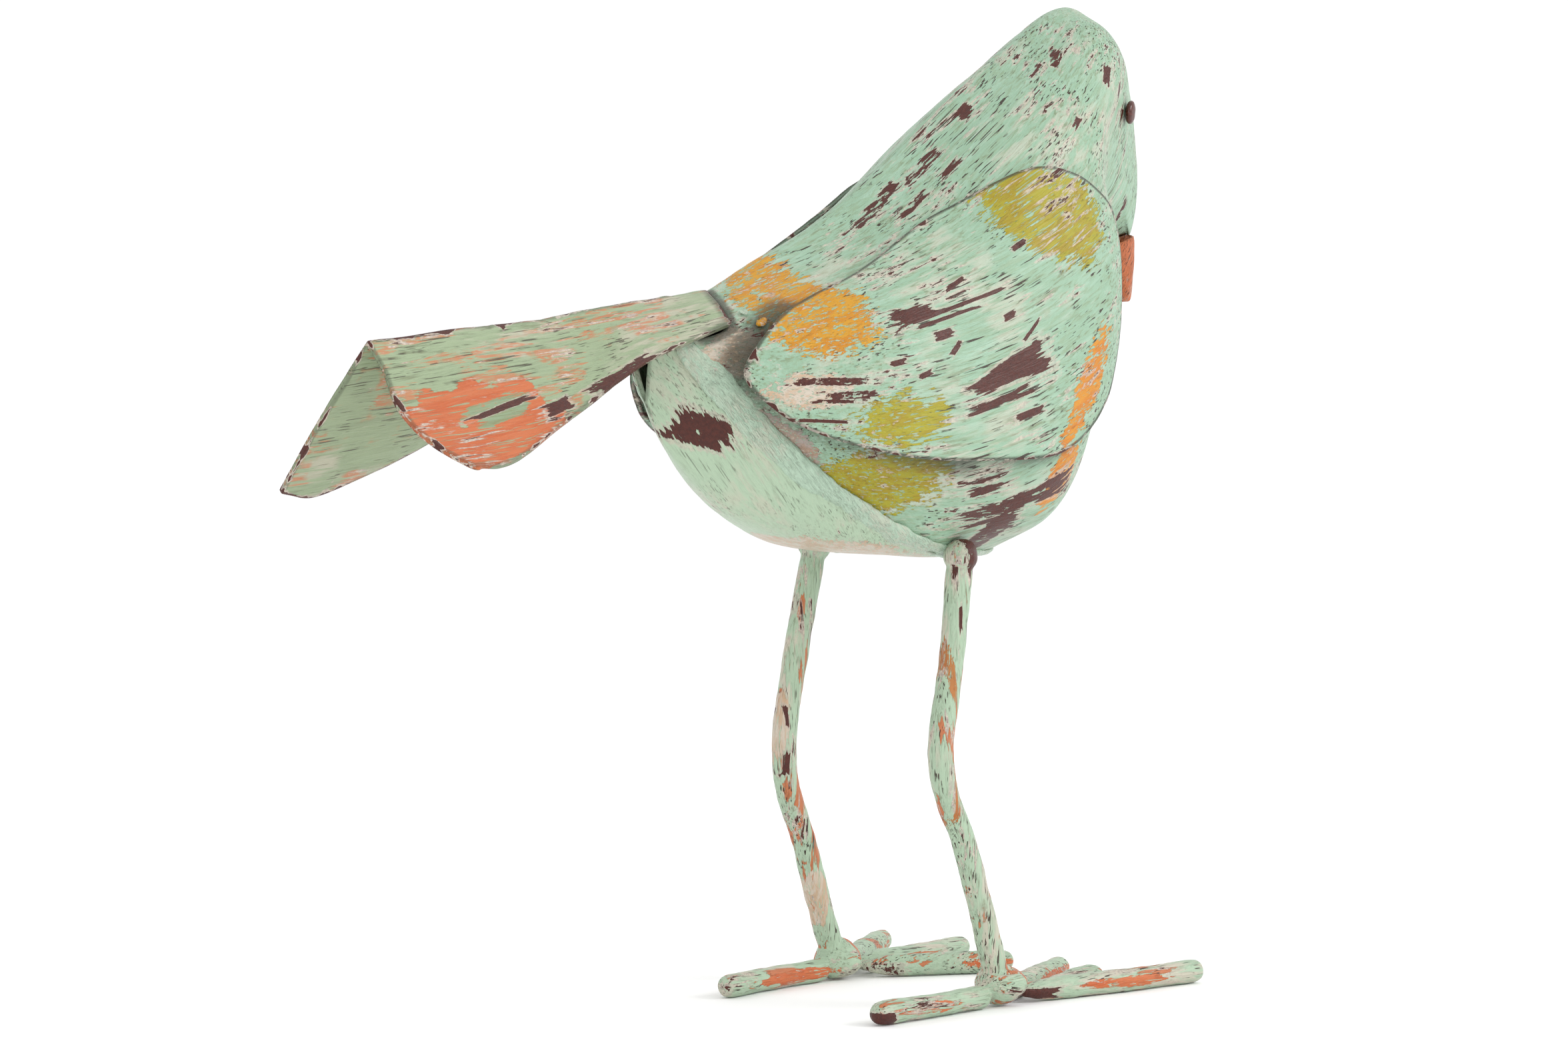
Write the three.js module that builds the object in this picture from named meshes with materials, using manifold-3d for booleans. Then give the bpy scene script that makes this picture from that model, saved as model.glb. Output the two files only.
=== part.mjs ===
// Garden bird welded from painted steel sheet and round rod.
// Units are millimetres. +X is the way the bird faces, +Y is its left, +Z is up, and the ground is z = 0.
// The shapes are laid out from the right ankle (x = 0) and the bird's middle plane (y = 0), and the
// finished group is then moved so that its origin is under the middle of its bounding box.

import * as THREE from 'three';
import Module from 'manifold-3d';

const wasm = await Module();
wasm.setup();

// Driving dimensions
const SHEET = 1.5;              // painted sheet thickness
const GAP = 0.35;               // clearance kept between touching pieces
const ROD = 3.75;               // radius of the painted leg and toe rod
const ROD_SIDES = 8;            // facets round a rod; one lies flat on the ground under each toe
const SEAM_TRIM = 1.5;          // each sheet stops this far short of the belly seam
const ANKLE_Y = 37;             // half the distance between the ankles
const ANKLE_SHIFT = { right: 0, left: 4 };
const RIGHT = -1;
const LEFT = 1;

// Body shell: sections from the tail root to the front of the face and breast. Each section runs from the
// ridge on the middle plane down to the belly seam, as [x, half width, z].
const SHELL_SECTIONS = [
  [[-87, 0, 216], [-89.9, 8, 212.4], [-91.5, 13, 208.8], [-94.5, 15.6, 205.4],
    [-99, 16, 203.8], [-102.5, 15.3, 203.1], [-105.5, 13.6, 203], [-108, 11, 203.6]],
  [[-72, 0, 223], [-71.5, 11, 218], [-72, 20, 212], [-74, 25.5, 205],
    [-77.5, 27.5, 198], [-81.5, 27, 190], [-84.5, 24.8, 181.5], [-85.4, 22, 173.8]],
  [[-48, 0, 233.9], [-47, 13, 227.5], [-46.5, 24.5, 220.8], [-47, 33, 211.5],
    [-48, 38, 200], [-50, 40, 185], [-54, 37.5, 167], [-55.5, 27.8, 152.7]],
  [[-20, 0, 250.1], [-18.5, 15, 242.5], [-17, 27.5, 234.5], [-16, 37, 223],
    [-15.5, 42, 208], [-16, 44, 188], [-18, 42, 160], [-24, 29, 138.4]],
  [[12, 0, 272.8], [13.5, 16, 265.3], [15, 29, 255.5], [16, 38, 241.5],
    [16.5, 42.5, 220], [15.5, 44, 190], [9, 39, 152], [-4, 23, 135.6]],
  [[42, 0, 291.3], [43, 16, 283], [43.5, 28, 269.5], [44, 34.5, 249],
    [46.5, 37.5, 222], [43.5, 37, 189], [28.5, 32.5, 150.5], [10, 17, 135.2]],
  [[66, 0, 303.2], [68, 14, 296], [68, 22, 283], [58, 26, 261],
    [68.5, 15.7, 233], [60, 19.5, 190], [42.5, 19, 149], [22, 10, 135.5]],
  [[84, 0, 296], [94, 0, 284], [98.4, 0, 268], [98, 0, 233.5],
    [78.5, 0, 227.5], [76, 0, 191], [56, 0, 150], [28, 0, 136]],
];

// Belly plate: its stern stands behind the shells, and from there it shares the shells' seam.
const STERN = { seam: [-113.5, 4.8, 207.5], bilge: [-113.6, 3.3, 195], keel: [-112, 0, 184] };
const BILGE = [[-104.5, 7.5, 181.5], [-81, 15, 158.5], [-53, 20, 143.5], [-25, 22, 136.8],
  [-6, 16, 134.9], [8, 11, 134.6], [20, 6, 135], [27, 0.5, 135.7]];
const KEEL = [[-104.5, 0, 172], [-80, 0, 151.5], [-53, 0, 140.3], [-25, 0, 136.2],
  [-7, 0, 134.6], [7, 0, 134.3], [18, 0, 134.8], [26.5, 0, 135.6]];

// Wing outline in side view as [x, z], counterclockwise from its front; how far each wing's rear stands off
// the flank, and the lower edge of both; and where each was welded on from that outline.
const WING_OUTLINE = [[50.5, 215.5], [47, 239.5], [22, 252], [-12, 239.5], [-48, 220.5], [-78.5, 207],
  [-93.5, 194], [-83.5, 181.8], [-56, 171], [-18, 166.8], [18, 169.4], [42.5, 186.5]];
const WING_LIFT = { right: 5.5, left: 2, low: 4 };
const WING_SHIFT = { right: [0, 0], left: [2.5, -1.5] };

// Tail: one folded sheet. The left panel is a little longer and deeper than the right one.
const TAIL_RIDGE = [[-88, 216.6], [-120, 213.2], [-165, 208.2], [-209.5, 203.6]];
const TAIL_EDGE = {
  right: [[-93.5, 17, 207.2], [-129, 20.5, 197], [-165, 26.5, 182], [-193.6, 33, 170.5], [-205, 32.5, 170]],
  left: [[-93.5, 17, 207.2], [-129, 21.5, 192], [-172, 28.5, 173.5], [-207, 34.5, 159.6], [-221, 32.5, 162]],
};
const TAIL_LOBE = { right: 9, left: 2.5 };

// Legs: centre lines from the body down to the ankle, as [x, y, z]; y is measured from the middle plane.
const LEG_LINE = {
  right: [[-14, 33, 136.6], [-19.3, 34, 103], [-24.6, 35, 79], [-22.7, 35.5, 66], [-17, 36, 54],
    [-9.3, 36.5, 32], [-1.8, 37, 8.2]],
  left: [[-10.5, 33, 136.6], [-16, 34, 111], [-20.4, 35, 87], [-21.9, 35, 75], [-19.8, 35.5, 61],
    [-13.6, 36, 48], [-7.2, 36.5, 30], [1, 37, 8.2]],
};

// Toes: end points measured from their own ankle, and how far each bends off its straight line.
const TOES = {
  right: {
    back: { end: [-57, -2], bow: 0.8 },
    outer: { end: [80, -9.3], bow: -1 },
    middle: { end: [50, 5.5], bow: 0.6, start: 23, taper: 0.1 },
    inner: { end: [55, 26], bow: 1 },
  },
  left: {
    back: { end: [-56, -6], bow: -0.8 },
    outer: { end: [55, 35], bow: 1 },
    middle: { end: [62.5, 5], bow: -1 },
    inner: { end: [50, -28], bow: -0.8 },
  },
};
const TOE_START = 6.5;          // the toes stop this far from the ankle's middle
const TOE_TAPER = 0.22;         // a toe's ground-down root has this radius per millimetre from the ankle

const paint = {
  mint: { color: 0xaed8c0, roughness: 0.6, metalness: 0 },
  mintDark: { color: 0x9fc7b0, roughness: 0.7, metalness: 0 },
  terracotta: { color: 0xd6703f, roughness: 0.6, metalness: 0 },
  brown: { color: 0x603830, roughness: 0.4, metalness: 0 },
};

const bird = new THREE.Group();
const layout = new THREE.Group();
bird.add(layout);

function addPiece(name, geometry, finish) {
  const mesh = new THREE.Mesh(geometry, new THREE.MeshStandardMaterial(finish));
  mesh.name = name;
  layout.add(mesh);
  return mesh;
}

function sideName(side) {
  return side === RIGHT ? 'right' : 'left';
}

function curveThrough(points) {
  return new THREE.CatmullRomCurve3(points.map((point) => new THREE.Vector3(...point)), false, 'centripetal');
}

// Turns a closed geometry right side out, whichever way its mapping wound it.
function faceOutward(geometry) {
  const place = geometry.attributes.position;
  const index = geometry.index.array;
  const a = new THREE.Vector3();
  const b = new THREE.Vector3();
  const c = new THREE.Vector3();
  let volume = 0;
  for (let i = 0; i < index.length; i += 3) {
    a.fromBufferAttribute(place, index[i]);
    b.fromBufferAttribute(place, index[i + 1]);
    c.fromBufferAttribute(place, index[i + 2]);
    volume += a.dot(b.cross(c));
  }
  if (volume < 0) {
    for (let i = 0; i < index.length; i += 3) {
      [index[i + 1], index[i + 2]] = [index[i + 2], index[i + 1]];
    }
  }
  geometry.computeVertexNormals();
  return geometry;
}

// A closed slab: a box grid in u and v, laid on a surface, with a lower and upper height along its normal.
function slab(surface, heights, uSteps, vSteps) {
  const geometry = new THREE.BoxGeometry(1, 1, 1, uSteps, vSteps, 1);
  const place = geometry.attributes.position;
  for (let i = 0; i < place.count; i += 1) {
    const u = place.getX(i) + 0.5;
    const v = place.getY(i) + 0.5;
    const { point, normal } = surface(u, v);
    const [low, high] = heights(u, v);
    point.addScaledVector(normal, place.getZ(i) < 0 ? low : high);
    place.setXYZ(i, point.x, point.y, point.z);
  }
  return faceOutward(geometry);
}

// Control points lie on a sheet's outer skin, so its thickness goes inward.
const sheetHeights = () => [-SHEET, 0];

// The point and outward normal of any two-parameter surface, by small differences.
function withNormal(pointAt, outwardFrom) {
  const step = 0.004;
  return (u, v) => {
    const point = pointAt(u, v);
    const alongU = pointAt(Math.min(u + step, 1), v).sub(pointAt(Math.max(u - step, 0), v));
    const alongV = pointAt(u, Math.min(v + step, 1)).sub(pointAt(u, Math.max(v - step, 0)));
    const normal = alongU.cross(alongV).normalize();
    if (normal.dot(outwardFrom(point)) < 0) normal.negate();
    return { point, normal };
  };
}

// Direction from the body's inner core line to a point on its skin.
function fromCore(point) {
  const along = THREE.MathUtils.clamp(point.x, -95, 50);
  const rise = THREE.MathUtils.smoothstep(point.z, 215, 265) * THREE.MathUtils.smoothstep(along, 0, 50);
  const height = THREE.MathUtils.mapLinear(along, -95, 50, 205, 195) + 65 * rise;
  return point.clone().sub(new THREE.Vector3(along, 0, height)).normalize();
}

// Body shells

const levelCount = SHELL_SECTIONS[0].length;
const seamPoints = [STERN.seam, ...SHELL_SECTIONS.map((section) => section[levelCount - 1])];
const seamCurve = curveThrough(seamPoints);
const bilgeCurve = curveThrough([STERN.bilge, ...BILGE]);
const keelCurve = curveThrough([STERN.keel, ...KEEL]);
const levelCurves = SHELL_SECTIONS[0].map((_, level) => (
  curveThrough(SHELL_SECTIONS.map((section) => section[level]))));
const sternShare = 1 / (seamPoints.length - 1);

// The seam's own parameter for a position u along the shell.
function seamAt(u) {
  return sternShare + (1 - sternShare) * u;
}

// A point of the shell's outer skin, for a half width that is never negative.
function shellPoint(u, v) {
  const section = levelCurves.map((curve) => curve.getPoint(u));
  section[levelCount - 1] = seamCurve.getPoint(seamAt(u));
  const point = new THREE.CatmullRomCurve3(section, false, 'centripetal').getPoint(v);
  point.y = Math.max(point.y, 0);
  return point;
}

const shellByDifferences = withNormal(shellPoint, fromCore);

// Near the middle plane the normal is eased into that plane, so that both halves meet edge to edge.
function shellSurface(u, v) {
  const { point, normal } = shellByDifferences(u, v);
  const away = THREE.MathUtils.smoothstep(point.y, 0, 7);
  const core = fromCore(point);
  normal.lerp(core, (1 - away) * THREE.MathUtils.smoothstep(u, 0.8, 1));
  normal.y *= away;
  return { point, normal: normal.normalize() };
}

function mirrored(surface, side) {
  return (u, v) => {
    const { point, normal } = surface(u, v);
    point.y = side * point.y;
    normal.y = side * normal.y;
    return { point, normal };
  };
}

function seamStretch(u) {
  return shellPoint(u, 1).distanceTo(shellPoint(u, 1 - 1 / (levelCount - 1))) * (levelCount - 1);
}

function bodyShell(side) {
  const trimmed = (u, v) => shellSurface(u, v * (1 - SEAM_TRIM / seamStretch(u)));
  const geometry = slab(trimmed, sheetHeights, 22, 16);
  const place = geometry.attributes.position;
  for (let i = 0; i < place.count; i += 1) {
    place.setY(i, side * Math.max(place.getY(i), GAP / 2));
  }
  return faceOutward(geometry);
}

// Belly plate

function bellyPoint(u, v) {
  const seam = seamCurve.getPoint(u);
  const bilge = bilgeCurve.getPoint(u);
  const keel = keelCurve.getPoint(u);
  const far = (point) => new THREE.Vector3(point.x, -point.y, point.z);
  const rib = [far(seam), far(bilge), keel, bilge, seam];
  return new THREE.CatmullRomCurve3(rib, false, 'centripetal').getPoint(v);
}

const bellySurface = withNormal(bellyPoint, fromCore);

function bellyPlate() {
  const lastU = 0.985;
  const trimmed = (u, v) => {
    const along = u * lastU;
    const halfWidth = seamCurve.getPoint(along).y;
    const keep = 0.5 - (SEAM_TRIM / (2 * halfWidth + 8));
    return bellySurface(along, 0.5 + (2 * v - 1) * keep);
  };
  return slab(trimmed, sheetHeights, 22, 8);
}

// Weld bead along the belly seam: a lumpy strip that straddles the joint and lies on both sheets.
function seamWeld(side) {
  const reach = 2.7;
  const base = GAP;
  const across = (u, v) => {
    const along = 0.02 + 0.37 * u;
    const shellSide = shellSurface(along, 1 - reach / seamStretch(along));
    const halfWidth = seamCurve.getPoint(seamAt(along)).y;
    const bellySide = bellySurface(seamAt(along), 1 - reach / (2 * halfWidth + 8));
    const middle = shellSurface(along, 1);
    const normal = shellSide.normal.clone().lerp(bellySide.normal, v).normalize();
    const line = new THREE.QuadraticBezierCurve3(shellSide.point, middle.point, bellySide.point);
    return { point: line.getPoint(v), normal };
  };
  const heights = (u, v) => {
    const lumps = 1 + 0.35 * Math.sin(u * 75 + 2 * v) + 0.2 * Math.sin(u * 31);
    return [base, base + 0.3 + 5.2 * v * (1 - v) * lumps];
  };
  return slab(mirrored(across, side), heights, 44, 4);
}

// Where the skin has a given x and z: the nearest point of a coarse grid, then Newton steps.
const skinGrid = [];
for (let i = 0; i <= 40; i += 1) {
  for (let j = 0; j <= 30; j += 1) {
    const [u, v] = [i / 40, j / 30];
    skinGrid.push({ u, v, point: shellPoint(u, v) });
  }
}

function skinAt(x, z) {
  const miss = (point) => (point.x - x) ** 2 + (point.z - z) ** 2;
  let { u, v } = skinGrid.reduce((best, entry) => (miss(entry.point) < miss(best.point) ? entry : best));
  for (let round = 0; round < 5; round += 1) {
    const step = 0.002;
    const here = shellPoint(u, v);
    const [su, sv] = [u < 0.5 ? step : -step, v < 0.5 ? step : -step];
    const du = shellPoint(u + su, v).sub(here).divideScalar(su);
    const dv = shellPoint(u, v + sv).sub(here).divideScalar(sv);
    const det = du.x * dv.z - du.z * dv.x;
    const [ex, ez] = [x - here.x, z - here.z];
    u = THREE.MathUtils.clamp(u + (ex * dv.z - ez * dv.x) / det, 0, 1);
    v = THREE.MathUtils.clamp(v + (du.x * ez - du.z * ex) / det, 0, 1);
  }
  return shellSurface(u, v);
}

// Wings: a plate with a rounded outline in side view, standing further off at its rear and lower edge.
const wingOutline = new THREE.CatmullRomCurve3(
  WING_OUTLINE.map(([x, z]) => new THREE.Vector3(x, 0, z)), true, 'centripetal');
const wingMiddle = new THREE.Vector3(-20, 0, 205);

function wingSurface(s, t, name) {
  const a = 2 * s - 1;
  const b = 2 * t - 1;
  const forward = a * Math.sqrt(1 - (b * b) / 2);
  const up = b * Math.sqrt(1 - (a * a) / 2);
  const turn = (Math.atan2(up, forward) / (2 * Math.PI) + 1) % 1;
  const rim = wingOutline.getPoint(turn);
  const side = wingMiddle.clone().lerp(rim, Math.hypot(forward, up));
  const { point, normal } = skinAt(side.x + WING_SHIFT[name][0], side.z + WING_SHIFT[name][1]);
  const rear = THREE.MathUtils.clamp((1 - forward) / 2, 0, 1);
  const low = THREE.MathUtils.clamp((1 - up) / 2, 0, 1);
  const rearLift = WING_LIFT[name] * rear ** 2 * Math.min(1, 1.3 * low);
  const lift = SHEET + 2 * GAP + rearLift + WING_LIFT.low * low ** 2 * (1 - 0.5 * forward);
  return { point: point.addScaledVector(normal, lift), normal };
}

function wing(side) {
  const placed = (s, t) => wingSurface(s, t, sideName(side));
  return slab(mirrored(placed, side), sheetHeights, 16, 10);
}

// Tail

function tailSurface() {
  const ridge = curveThrough(TAIL_RIDGE.map(([x, z]) => [x, 0, z]));
  const edges = { right: curveThrough(TAIL_EDGE.right), left: curveThrough(TAIL_EDGE.left) };
  const pointAt = (u, v) => {
    const across = 2 * v - 1;
    const name = across < 0 ? 'right' : 'left';
    const reach = Math.abs(across);
    const point = ridge.getPoint(u).lerp(edges[name].getPoint(u), reach);
    const bulge = 4 * reach * (1 - reach);
    point.z += THREE.MathUtils.lerp(1.2, -2.2, u) * bulge;
    point.x -= TAIL_LOBE[name] * bulge * u ** 6 + (name === 'left' ? 6 * u ** 8 * (1 - reach) : 0);
    point.y *= Math.sign(across);
    return point;
  };
  return withNormal(pointAt, () => new THREE.Vector3(0, 0, 1));
}

// A rod along a curve with rounded ends: a capsule whose rings are laid along the curve.
function rod(points, radiusAt, segments, floor) {
  const curve = curveThrough(points);
  const length = curve.getLength();
  const geometry = new THREE.CapsuleGeometry(ROD, length - 2 * ROD, 2, ROD_SIDES, segments);
  geometry.rotateY(Math.PI / ROD_SIDES);
  const place = geometry.attributes.position;
  const up = new THREE.Vector3(0, 0, 1);
  const forward = new THREE.Vector3(1, 0, 0);
  for (let i = 0; i < place.count; i += 1) {
    const along = THREE.MathUtils.clamp(place.getY(i) / length + 0.5, 0, 1);
    const tangent = curve.getTangentAt(along);
    const reference = Math.abs(tangent.z) > 0.7 ? forward : up;
    const sideways = new THREE.Vector3().crossVectors(tangent, reference).normalize();
    const upright = new THREE.Vector3().crossVectors(sideways, tangent);
    const scale = radiusAt(along * length, length) / ROD;
    const point = curve.getPointAt(along);
    point.addScaledVector(sideways, place.getX(i) * scale);
    point.addScaledVector(upright, place.getZ(i) * scale);
    if (point.z < floor) point.z = floor;
    place.setXYZ(i, point.x, point.y, point.z);
  }
  return faceOutward(geometry);
}

function legRod(side, grow = 0) {
  const points = LEG_LINE[sideName(side)].map(([x, y, z]) => [x, side * y, z]);
  return rod(points, () => ROD + grow, 14, -100);
}

function toeRod(side, toe, grow = 0) {
  const { end, bow, start = TOE_START, taper = TOE_TAPER } = TOES[sideName(side)][toe];
  const ankleX = ANKLE_SHIFT[sideName(side)];
  const ankleY = side * ANKLE_Y;
  const height = ROD * Math.cos(Math.PI / ROD_SIDES);
  const reach = Math.hypot(...end);
  const direction = [end[0] / reach, end[1] / reach];
  const middle = (start + reach) / 2;
  const at = (distance, off) => [ankleX + direction[0] * distance - direction[1] * off,
    ankleY + direction[1] * distance + direction[0] * off, height];
  const points = [at(start, 0), at(middle, bow), at(reach, 0)];
  const full = () => ROD + grow;
  const tapered = (distance) => Math.min(ROD, taper * (start + distance)) + grow;
  return rod(points, toe === 'back' ? full : tapered, 6, grow > 0 ? -100 : 0);
}

// Small solids that welding leaves: lumpy balls, and the cut that seats them around rods.

function lumpyBall(radii, seed, segments = 12) {
  const geometry = new THREE.SphereGeometry(1, segments, Math.round(segments * 0.7));
  const place = geometry.attributes.position;
  for (let i = 0; i < place.count; i += 1) {
    const [x, y, z] = [place.getX(i), place.getY(i), place.getZ(i)];
    const waves = Math.sin(3.1 * x + 2.3 * seed) * Math.cos(2.7 * y - seed);
    const lump = 1 + 0.1 * waves + 0.07 * Math.sin(4.3 * z + seed);
    place.setXYZ(i, x * radii[0] * lump, y * radii[1] * lump, z * radii[2] * lump);
  }
  return faceOutward(geometry);
}

function toSolid(geometry) {
  const corners = new Map();
  const vertices = [];
  const remap = [];
  const place = geometry.attributes.position;
  for (let i = 0; i < place.count; i += 1) {
    const key = [place.getX(i), place.getY(i), place.getZ(i)].map((value) => value.toFixed(3)).join();
    if (!corners.has(key)) {
      corners.set(key, vertices.length / 3);
      vertices.push(place.getX(i), place.getY(i), place.getZ(i));
    }
    remap.push(corners.get(key));
  }
  const triangles = [];
  for (let i = 0; i < geometry.index.count; i += 3) {
    const corner = [0, 1, 2].map((k) => remap[geometry.index.getX(i + k)]);
    if (new Set(corner).size === 3) triangles.push(...corner);
  }
  const mesh = new wasm.Mesh({
    numProp: 3,
    vertProperties: new Float32Array(vertices),
    triVerts: new Uint32Array(triangles),
  });
  return new wasm.Manifold(mesh);
}

function toGeometry(solid) {
  const mesh = solid.getMesh();
  const geometry = new THREE.BufferGeometry();
  geometry.setAttribute('position', new THREE.BufferAttribute(new Float32Array(mesh.vertProperties), 3));
  geometry.setIndex(new THREE.BufferAttribute(new Uint32Array(mesh.triVerts), 1));
  geometry.computeVertexNormals();
  return geometry;
}

// What is left of a solid once every cutter is taken away: its largest single body.
function carve(geometry, cutters) {
  let solid = toSolid(geometry);
  for (const cutter of cutters) solid = solid.subtract(toSolid(cutter));
  const bodies = solid.decompose();
  bodies.sort((one, other) => other.volume() - one.volume());
  return toGeometry(bodies[0]);
}

function ankleWeld(side) {
  const ball = lumpyBall([7.6, 7.2, 6.6], side + 2);
  ball.translate(ANKLE_SHIFT[sideName(side)] - 0.8, side * ANKLE_Y, 6.4);
  const place = ball.attributes.position;
  for (let i = 0; i < place.count; i += 1) place.setZ(i, Math.max(place.getZ(i), GAP));
  const toes = Object.keys(TOES.right).map((toe) => toeRod(side, toe, GAP));
  return carve(ball, [...toes, legRod(side, GAP)]);
}

function legWeld(side, undersides) {
  const top = LEG_LINE[sideName(side)][0];
  const ball = lumpyBall([5.5, 5.4, 4.6], side + 5);
  ball.translate(top[0], side * top[1], top[2] + 0.5);
  const seated = carve(ball, undersides);
  seated.translate(0, 0, -GAP);
  return carve(seated, [legRod(side, GAP)]);
}

// A small tack that lies on the skin at x, z in side view.
function tack(x, z, side, radius, seed, rise = 0.55) {
  const { point, normal } = mirrored(() => skinAt(x, z), side)();
  const ball = lumpyBall([radius, radius * 0.85, radius * rise], seed, 8);
  ball.applyQuaternion(new THREE.Quaternion().setFromUnitVectors(new THREE.Vector3(0, 0, 1), normal));
  point.addScaledVector(normal, GAP + radius * rise * 1.15);
  ball.translate(point.x, point.y, point.z);
  return ball;
}

// Beak: a blunt sheet cone with an open top that tucks under the face.
function beak() {
  const wall = SHEET * 0.8;
  const slope = 0.3;
  const top = { x: 89.3, z: 230.4, long: 7.9, wide: 5.6 };
  const tip = { x: 94.2, z: 211.2, long: 2.4, wide: 2 };
  const profile = [[0, 0.12], [1 - wall / tip.wide, 0.12], [1 - wall / top.wide, 1],
    [1, 1], [1, 0.5], [1, 0.04], [0.7, 0], [0, 0]];
  const geometry = new THREE.LatheGeometry(profile.map(([across, up]) => new THREE.Vector2(across, up)), 16);
  const place = geometry.attributes.position;
  for (let i = 0; i < place.count; i += 1) {
    const up = place.getY(i);
    const long = place.getX(i) * THREE.MathUtils.lerp(tip.long, top.long, up);
    const wide = place.getZ(i) * THREE.MathUtils.lerp(tip.wide, top.wide, up);
    const x = THREE.MathUtils.lerp(tip.x, top.x, up) + long;
    const z = THREE.MathUtils.lerp(tip.z, top.z, up) + slope * long * up;
    place.setXYZ(i, x, wide, z);
  }
  return faceOutward(geometry);
}

// Assembly

const tail = slab(tailSurface(), sheetHeights, 14, 10);
const belly = bellyPlate();
addPiece('tail', tail, paint.mint);
addPiece('belly_plate', belly, paint.mint);
addPiece('beak', beak(), paint.terracotta);

for (const side of [RIGHT, LEFT]) {
  const name = sideName(side);
  const shell = bodyShell(side);
  addPiece(`${name}_body_shell`, shell, paint.mint);
  addPiece(`${name}_wing`, wing(side), paint.mint);
  addPiece(`${name}_seam_weld`, seamWeld(side), paint.mintDark);
  addPiece(`${name}_eye`, tack(76, 270.5, side, 3.4, 1, 0.28), paint.brown);
  addPiece(`${name}_wing_tack`, tack(-84, 206.5, side, 1.9, 2, 0.4), paint.mintDark);
  addPiece(`${name}_tail_tack`, tack(-86.5, 209.5, side, 1.6, 3, 0.4), paint.mintDark);
  addPiece(`${name}_leg`, legRod(side), paint.mint);
  addPiece(`${name}_leg_weld`, legWeld(side, [shell, belly]), paint.mintDark);
  addPiece(`${name}_ankle_weld`, ankleWeld(side), paint.mintDark);
  for (const toe of Object.keys(TOES.right)) {
    addPiece(`${name}_${toe}_toe`, toeRod(side, toe), paint.mint);
  }
}

const bounds = new THREE.Box3().setFromObject(layout);
const middle = bounds.getCenter(new THREE.Vector3());
layout.position.set(-middle.x, -middle.y, -bounds.min.z);
bird.updateMatrixWorld(true);

export default bird;
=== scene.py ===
from collections import namedtuple
from math import atan2, cos, radians, sin

import bmesh
import bpy
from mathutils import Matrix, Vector, noise
from mathutils.kdtree import KDTree


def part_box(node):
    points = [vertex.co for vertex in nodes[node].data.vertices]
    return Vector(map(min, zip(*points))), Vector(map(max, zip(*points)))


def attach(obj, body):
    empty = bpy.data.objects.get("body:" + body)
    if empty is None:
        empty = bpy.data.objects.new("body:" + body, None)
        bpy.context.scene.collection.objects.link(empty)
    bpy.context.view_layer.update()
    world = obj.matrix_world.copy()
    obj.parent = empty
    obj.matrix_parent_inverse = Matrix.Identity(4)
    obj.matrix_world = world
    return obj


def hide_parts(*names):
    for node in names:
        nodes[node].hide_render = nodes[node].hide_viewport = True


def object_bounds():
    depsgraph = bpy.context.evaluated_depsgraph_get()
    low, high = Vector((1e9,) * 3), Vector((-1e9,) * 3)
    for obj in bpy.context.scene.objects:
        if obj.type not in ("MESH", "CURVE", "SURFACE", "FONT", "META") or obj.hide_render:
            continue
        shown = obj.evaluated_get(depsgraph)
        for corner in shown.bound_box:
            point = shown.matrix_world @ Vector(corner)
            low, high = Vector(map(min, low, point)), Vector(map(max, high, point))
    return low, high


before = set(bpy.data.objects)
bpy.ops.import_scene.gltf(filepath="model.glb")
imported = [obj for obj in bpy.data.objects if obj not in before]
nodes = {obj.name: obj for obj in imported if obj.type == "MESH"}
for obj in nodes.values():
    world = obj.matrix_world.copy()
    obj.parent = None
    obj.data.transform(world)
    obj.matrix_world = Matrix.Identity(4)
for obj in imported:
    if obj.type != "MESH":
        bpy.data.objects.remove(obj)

MM = 0.001
cad_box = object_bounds()

# Places that the paint and the meshes are set out from, all taken from the CAD nodes.
BODY_LOW, BODY_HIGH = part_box("right_body_shell")
WING_LOW, WING_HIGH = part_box("right_wing")
TAIL_LOW, TAIL_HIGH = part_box("tail")
BELLY_LOW, BELLY_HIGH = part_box("belly_plate")
MIDDLE_Y = (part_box("right_body_shell")[1].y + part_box("left_body_shell")[0].y) / 2
CORE_X = BODY_LOW.lerp(BODY_HIGH, 0.45).x

# Paint colours, linear
MINT = (0.275, 0.425, 0.30, 1)
MINT_PALE = (0.325, 0.48, 0.36, 1)
MINT_DULL = (0.24, 0.32, 0.19, 1)
BELLY_MINT = (0.405, 0.53, 0.38, 1)
WELD_MINT = (0.42, 0.56, 0.43, 1)
TAIL_MINT = (0.295, 0.37, 0.225, 1)
ROD_MINT = (0.38, 0.50, 0.36, 1)
CREAM = (0.55, 0.485, 0.40, 1)
PINK_GREY = (0.40, 0.335, 0.295, 1)
PATINA = (0.12, 0.112, 0.052, 1)
SHADE = (0.045, 0.045, 0.03, 1)
OLIVE = (0.335, 0.30, 0.018, 1)
MUSTARD = (0.55, 0.27, 0.014, 1)
ORANGE = (0.58, 0.24, 0.016, 1)
TERRACOTTA = (0.53, 0.145, 0.05, 1)
RUST = (0.42, 0.17, 0.05, 1)
BROWN = (0.058, 0.012, 0.007, 1)
CRACK = (0.035, 0.016, 0.01, 1)


def spot(low, high, fx, fz):
    """A point of the middle plane, by its fractions along x and z of a node's box."""
    return Vector((low.x + fx * (high.x - low.x), MIDDLE_Y, low.z + fz * (high.z - low.z)))


def on_wing(fx, fz):
    return spot(WING_LOW, WING_HIGH, fx, fz)


def on_body(fx, fz):
    return spot(BODY_LOW, BODY_HIGH, fx, fz)


def on_tail(fx, fz):
    return spot(TAIL_LOW, TAIL_HIGH, fx, fz)


def on_belly(fx, fz):
    return spot(BELLY_LOW, BELLY_HIGH, fx, fz)


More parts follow.
